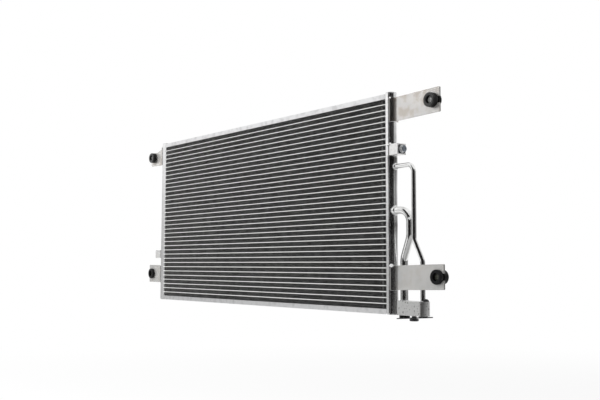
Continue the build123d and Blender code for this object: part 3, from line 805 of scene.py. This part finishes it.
# Refrigerant pipes, two drawn aluminium tubes, 12.7 mm for gas and 8 mm for liquid.
# Both leave the right tank, drop beside it and are bent back behind the lower ear to the block.
# They are brazed into turned collars on the tank and tied to each other by a blob of solder.
pipe_material = aluminium("drawn_pipe", (0.88, 0.88, 0.875), 0.14, 0.1 * mm, (1, 1, 40), 0.08)
gas_radius, liquid_radius = 6.35 * mm, 4.0 * mm
gas_port, liquid_port, gas_level, liquid_level = (19.2, 7.9), (61.5, 5.6), 149.2, 220.2
gas_route = [(6.9, 0, gas_level), (12.2, 0, gas_level), (37.4, 3.5, gas_level), (37.4, 3.5, 107.0),
             (*gas_port, 72.0), (*gas_port, -3.6)]
liquid_route = [(6.9, 0, liquid_level), (12.2, 0, liquid_level), (50.5, -1.5, liquid_level),
                (50.5, -1.5, 102.5), (*liquid_port, 68.5), (*liquid_port, -3.6)]


def pipe(board, size):
    """A round tube along the corners of the base mesh, each rounded to its own bend."""
    line = board.node("GeometryNodeMeshToCurve", {"Mesh": size["Geometry"]})
    bend = board.node("GeometryNodeInputNamedAttribute", {"Name": "bend"}, data_type="FLOAT")
    rounded = {"Curve": line, "Count": 14, "Radius": bend, "Limit Radius": True}
    line = board.node("GeometryNodeFilletCurve", rounded, mode="POLY")
    section = board.node("GeometryNodeCurvePrimitiveCircle", {"Resolution": 40, "Radius": size["Radius"]})
    return plain(board, swept(board, line, section), pipe_material)


for name, route, bends, radius in (
    ("pipe_gas", gas_route, (0.0, 25.0, 19.0, 20.0, 20.0, 0.0), gas_radius),
    ("pipe_liquid", liquid_route, (0.0, 32.0, 12.0, 20.0, 20.0, 0.0), liquid_radius),
):
    corners = [(right_x + x * mm, y * mm, base_z + z * mm) for x, y, z in route]
    base = bpy.data.meshes.new(name)
    base.from_pydata(corners, [(i, i + 1) for i in range(len(corners) - 1)], [])
    base.attributes.new("bend", "FLOAT", "POINT").data.foreach_set("value", [b * mm for b in bends])
    fitted(creased(grown(f"{name}_dressed", {"Radius": radius}, pipe, base), 40.0))

collar_wall, collar_foot, collar_end = 1.5 * mm, 5.3 * mm, tank_radius + 1.3 * mm
collar_rings = []
for name, level, radius in (
    ("collar_gas", gas_level, gas_radius), ("collar_liquid", liquid_level, liquid_radius),
):
    outer, rim, lip = radius + collar_wall, 0.8 * mm, 0.25 * mm
    outline = [(radius, collar_foot), (outer, collar_foot)]
    outline += arc(outer - rim, collar_end - rim, rim, 0, 90, 5)
    outline += [(radius + lip, collar_end), (radius, collar_end - lip)]
    centre = (right_x, 0, base_z + level * mm)
    fitted(turned(name, outline, centre, "X", pipe_material, 56))
    for reach, foot in ((radius + 0.3 * mm, False), (outer + 0.15 * mm, True)):
        bead = []
        for turn in full_turn(ring_steps):
            y, z = reach * cos(turn), reach * sin(turn)
            x = sqrt(tank_radius**2 - y**2) if foot else collar_end
            bead.append((right_x + x, y, centre[2] + z))
        collar_rings.append(bead)
fitted(beads("collar_solder", collar_rings, 0.42 * mm, solder_material, 0.35, True))


def blob(name, spots):
    """Beads of filler, each with the ripples and the crater that it froze with."""
    shape = bmesh.new()
    for centre, radius, outward in spots:
        out = Vector(outward).normalized()
        made = bmesh.ops.create_icosphere(shape, subdivisions=4, radius=1.0)["verts"]
        for vert in made:
            way = vert.co.normalized()
            facing = way.dot(out)
            crater = 0.24 * min(1.0, max(0.0, (facing - 0.72) / 0.2))
            ridge = 0.07 * cos(9.0 * facing) if facing > 0 else 0.0
            lump = 0.09 * noise.noise(way * 2.3 + Vector(centre) * 300)
            vert.co = Vector(centre) + way * radius * (0.93 - crater + ridge + lump)
    mesh = bpy.data.meshes.new(name)
    shape.to_mesh(mesh)
    shape.free()
    mesh.materials.append(weld_material)
    return creased(placed(name, mesh), 60.0)


def weld_bead():
    """Filler with painted light: bright where it faces up and dark where it faces down."""
    finish = Finish("weld_bead")
    cloud, normal = finish.grain(1.2 * mm), finish.node("ShaderNodeNewGeometry", out="Normal")
    upward = finish.node("ShaderNodeSeparateXYZ", {"Vector": normal}, out="Z")
    # Painted light and shade from the surface's facing: bright on top, dark underneath
    top = finish.ease(upward, -0.55, 0.05)
    tone = finish.tint(top, (0.20, 0.20, 0.205), finish.tint(cloud, 0.98, (0.88, 0.88, 0.87)))
    return finish.done(tone, 0.07 + 0.08 * cloud, 1.0 - 0.85 * top)


weld_material = weld_bead()
tie_place, tie_outward = Vector((right_x + 46.2 * mm, -1.4 * mm, base_z + 135.5 * mm)), (0.6, -0.8, 0.1)
tie_beads = (((-3.5, -1.2, -0.9), 2.75), ((-1.2, -0.4, -0.3), 2.35), ((1.2, 0.0, 0.2), 2.3))
tie_spots = [(tie_place + Vector(offset) * mm, radius * mm, tie_outward) for offset, radius in tie_beads]
fitted(blob("pipe_tie_dressed", tie_spots))


# Connector block at the foot of the pipes, sawn from an aluminium extrusion.
# The pipes are brazed into its top, and the car's two lines are clamped to its underside. Its
# rounded sides are as extruded, with a fine speckle of flux.


def block_finish():
    """Dull as extruded, with a fine sand of flux and darker flecks."""
    finish = Finish("speckled_block")
    sand = finish.ease(finish.grain(0.55 * mm), 0.44, 0.6)
    fleck = finish.ease(finish.grain(2.8 * mm, 2.0), 0.60, 0.67)
    cloud = finish.grain(12.0 * mm)
    tone = finish.tint(sand * 0.45, (0.74, 0.74, 0.73), (0.57, 0.57, 0.56))
    tone = finish.tint(fleck * 0.8, tone, (0.14, 0.14, 0.135))
    rough = 0.26 + 0.12 * sand + 0.1 * cloud
    return finish.done(tone, rough, bumps=[(sand, 0.012 * mm), (fleck, -0.02 * mm)])


fitted(dressed("connector_block", block_finish(), 0.4 * mm))
block_top = base_z + 5.4 * mm
foot_rings = [level_ring((right_x + x * mm, y * mm, block_top + 0.1 * mm), radius + 0.35 * mm)
              for (x, y), radius in ((gas_port, gas_radius), (liquid_port, liquid_radius))]
fitted(beads("block_solder", foot_rings, 0.75 * mm, solder_material, 0.5, True))


# Closures that keep the ports clean until the part is fitted.
# A black plate leans on two rubber plugs under the block and is held by a stud and a nut, and a
# rubber dome closes the drilling in the block's top.


def cover_finish():
    """Black plastic with paler scuffs."""
    finish = Finish("black_cover")
    scuff = finish.ease(finish.grain(3.0 * mm, 5.0), 0.55, 0.75)
    tone, skin = finish.tint(scuff, (0.022, 0.022, 0.023), 0.075), finish.grain(0.4 * mm, 2.0)
    return finish.done(tone, 0.38 + 0.2 * scuff, 0.0, [(skin, 0.01 * mm)])


fitted(dressed("shipping_cover", cover_finish(), 0.3 * mm))
plug_material = rubber("plug_rubber", (0.014, 0.014, 0.014), 0.42, 0.04)
for name in ("plug_gas", "plug_liquid"):
    fitted(dressed(name, plug_material))

dome_radius, dome_height = 4.7 * mm, 4.2 * mm
dome_sphere = (dome_radius**2 + dome_height**2) / (2 * dome_height)
dome_outline = [(0.0, 0.0), (dome_radius * 0.985, 0.0)]
dome_outline += arc(0.0, dome_height - dome_sphere, dome_sphere, 8, 90, 14)
dome_place = (right_x + 70.6 * mm, 2.7 * mm, block_top)
fitted(turned("drilling_plug", dome_outline, dome_place, "Z", plug_material, 48))

nut_low, nut_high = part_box("cover_nut")[0].z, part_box("cover_nut")[1].z
nut_place = (right_x + 43.4 * mm, 4.5 * mm, nut_low)
nut_flats, stud_radius, stud_lead = 13.0 * mm, 4.0 * mm, 0.4 * mm


def nut_finish():
    """Blackened steel, slightly blotched."""
    finish = Finish("black_nut")
    cloud, grit = finish.grain(2.5 * mm, 4.0), finish.grain(0.25 * mm)
    tone = finish.tint(finish.ease(cloud, 0.35, 0.7), (0.10, 0.10, 0.105), (0.045, 0.045, 0.048))
    return finish.done(tone, 0.32 + 0.15 * cloud, 0.9, [(grit, 0.006 * mm)])


nut_material = nut_finish()


def nut_outline(turn):
    """Half the nut's section, chamfered at its corners and its bore."""
    side, flat, high = hexagon(nut_flats, turn), nut_flats / 2 * 0.95, nut_high - nut_low
    drop, lead = (side - flat) * 0.5, 0.5 * mm
    return [(stud_radius, lead), (stud_radius + lead, 0.0), (flat, 0.0), (side, drop), (side, high - drop),
            (flat, high), (stud_radius + lead, high), (stud_radius, high - lead)]


fitted(turned("cover_nut", nut_outline, nut_place, "Z", nut_material, angle=24.0))
stud_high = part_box("cover_stud")[1].z - nut_low
stud_outline = [(0.0, 0.0), (3.5 * mm, 0.0)]
stud_outline += threaded(stud_radius, 0.5 * mm, 1.25 * mm, stud_lead, stud_high - stud_lead)
stud_outline += [(3.6 * mm, stud_high), (0.0, stud_high)]
fitted(turned("cover_stud", stud_outline, nut_place, "Z", nut_material, 48))


# Welds and solder at the brackets.
# Each bracket is tacked to its header by hand before the furnace, which leaves a bright bead with a
# crater on its upper lip, and solder then runs along the edges of the saddle.
tack_reach, solder_reach = 10.6 * mm, 9.75 * mm
# Header, its side, the bracket's upper edge, and each bead's radius, angle and depth below the edge
tacks = (
    ("upper_right", right_x, 1, 332.4, ((2.0, 54.0, 0.8),)),
    ("lower_right", right_x, 1, 60.6, ((3.6, 50.0, 0.5),)),
    ("upper_left", left_x, -1, 334.7, ((2.0, 60.0, 2.0),)),
    ("lower_left", left_x, -1, 60.8, ((2.0, 60.0, 1.5),)),
    ("bolt_bracket", right_x, 1, 256.2, ((2.0, 55.0, -0.6), (2.0, 76.0, 1.2))),
)
for name, axis_x, side, top, beads_here in tacks:
    spots = []
    for radius, angle, drop in beads_here:
        x, y = side * cos(radians(angle)), -sin(radians(angle))
        centre = Vector((axis_x + x * tack_reach, y * tack_reach, base_z + (top - drop) * mm))
        spots.append((centre, radius * mm, (x, y, 0.25)))
    fitted(blob(f"tack_weld_{name}_dressed", spots))

# Header, its side, the reach of the saddle's lips, and the saddle's lower and upper edge
saddles = (
    (right_x, 1, 4.35, 21.6, 60.6), (right_x, 1, 4.35, 293.4, 332.4), (left_x, -1, 4.35, 292.7, 334.7),
    (left_x, -1, 4.35, 21.2, 60.8), (left_x, -1, 6.8, 77.0, 95.0), (right_x, 1, 4.2, 238.2, 256.2),
)
lips, lip_end = [], 0.6 * mm
for axis_x, side, reach, low, high in saddles:
    x, low, high = reach * mm, base_z + low * mm, base_z + high * mm
    y, half = sqrt(solder_reach**2 - x**2), acos(x / solder_reach) * 0.94
    lips += [[(axis_x + side * x, way * y, z) for z in (low + lip_end, high - lip_end)] for way in (-1, 1)]
    turns = [half * (i / 12 - 1) for i in range(25)]
    lips += [[(axis_x + side * solder_reach * cos(a), solder_reach * sin(a), z) for a in turns]
             for z in (low, high)]
fitted(beads("saddle_solder", lips, 0.42 * mm, solder_material, 0.45))


# Studio: a white floor in a white room, with soft lamps for what is matt. Only reflections show
# the grey and dark screens and the card, which give the metal its grey sides and dark lines.
floor_z, floor_radius, floor_steps = cad_box[0][2] - 0.30, 9.0, 96


def backdrop_rays(board):
    """1 for what the camera sees of the backdrop, directly, in gloss or through something clear."""
    rays = board.node("ShaderNodeLightPath", out="Is Camera Ray")
    return rays.math("MAXIMUM", rays.other("Is Glossy Ray")).math("MAXIMUM", rays.other("Is Transmission Ray"))


floor_finish = Finish("floor_paper")
paper = floor_finish.node("ShaderNodeBsdfDiffuse", {"Color": 0.80})
glow = floor_finish.node("ShaderNodeEmission", {"Color": 1.0, "Strength": 1.0})
away = floor_finish.node("ShaderNodeVectorMath", {0: floor_finish.place}, 1, operation="LENGTH")
share = backdrop_rays(floor_finish) * (0.80 + 0.20 * floor_finish.ease(away, 1.0, 3.0))
mixed = floor_finish.node("ShaderNodeMixShader", {0: share, 1: paper, 2: glow})
floor_finish.node("ShaderNodeOutputMaterial", {"Surface": mixed})
floor_rim = [(floor_radius * cos(a), floor_radius * sin(a), floor_z) for a in full_turn(floor_steps)]
new_piece("floor", floor_rim, [tuple(range(floor_steps))], floor_finish.material)

room = bpy.data.worlds.new("room")
bpy.context.scene.world = room
room.use_nodes = True
room.node_tree.nodes.clear()
room.cycles.sampling_method = "NONE"
studio = Board(room.node_tree)
white = studio.tint(backdrop_rays(studio), 0.42, 1.0)
sky = studio.node("ShaderNodeBackground", {"Color": white, "Strength": 1.0})
studio.node("ShaderNodeOutputWorld", {"Surface": sky})


def reflected(name, points, faces, tone):
    """A screen or card of the set that only reflections show."""
    finish = Finish(name)
    shine = finish.node("ShaderNodeEmission", {"Color": tone(finish), "Strength": 1.0})
    finish.node("ShaderNodeOutputMaterial", {"Surface": shine})
    finish.material.cycles.emission_sampling = "NONE"
    made = new_piece(name, points, faces, finish.material)
    made.visible_camera = made.visible_diffuse = made.visible_shadow = made.visible_transmission = False


def screen(name, path, tone):
    """An upright screen along a path on the floor."""
    count, screen_top = len(path), 1.3
    points = [(x, y, z) for z in (floor_z, screen_top) for x, y in path]
    reflected(name, points, [(i, i + 1, count + i + 1, count + i) for i in range(count - 1)], tone)


def grey_paper(finish):
    """Brighter towards the top, and dull up to a line on the side to the camera's right."""
    left = finish.tint(finish.rise("Z", 0.0, 0.75), 0.44, 1.0)
    right = finish.tint(finish.rise("Z", 0.42, 0.72), 0.20, 0.70)
    return finish.tint(finish.rise("X", 0.6, 1.4), left, right)


screen_radius, screen_x = 2.6, -0.40
screen_turns = [radians(turn) for turn in range(-195, 90, 5)]
grey_path = [(screen_x + screen_radius * cos(a), screen_radius * sin(a)) for a in screen_turns]
screen("grey_screen", grey_path, grey_paper)
dark_path = ((-0.30, -0.60), (0.30, -1.20), (1.20, -1.20), (1.90, -0.80), (2.00, 0.20))
screen("dark_screen", dark_path, lambda finish: (0.016, 0.015, 0.015))


def card_paper(finish):
    """White on the left, grey on the right."""
    return finish.tint(finish.rise("X", -1.1, 0.3), 1.0, 0.46)


card_rim = [(x, y, floor_z + 1 * mm) for x, y in ((-1.40, -1.10), (1.00, -1.10), (1.00, 0.40), (-1.40, 0.40))]
reflected("grey_card", card_rim, [(0, 1, 2, 3)], card_paper)


def lamp(name, place, aim, size, power):
    """A large soft lamp that lights matt surfaces; the room alone shows in the metal."""
    light = bpy.data.lights.new(name, "AREA")
    light.shape, light.size, light.energy = "DISK", size, power
    made = placed(name, light)
    made.location = place
    made.rotation_euler = (Vector(place) - Vector(aim)).to_track_quat("Z", "Y").to_euler()
    made.visible_glossy = False


core_middle = ((right_x + left_x) / 2, 0.0, 0.1)
lamp("lamp_left", (-1.9, -2.0, 1.5), core_middle, 1.4, 70.0)
lamp("lamp_top", (-0.3, -0.5, 2.6), core_middle, 2.0, 34.0)
lamp("lamp_right", (1.9, 1.4, 1.0), core_middle, 1.4, 10.0)

# Camera, where the photograph was taken from
lens = bpy.data.cameras.new("camera")
lens.lens, lens.sensor_width = 50.0, 36.0
camera = placed("camera", lens)
camera_turns = ((51.724, "Z"), (4.461, "X"), (-0.135, "Y"), (90.0, "X"))
pose = Matrix.Translation((0.86334, -0.94886, 0.01779))
for angle, axis in camera_turns:
    pose = pose @ Matrix.Rotation(radians(angle), 4, axis)
camera.matrix_world = pose
bpy.context.scene.camera = camera
bpy.context.scene.view_settings.view_transform = "Standard"
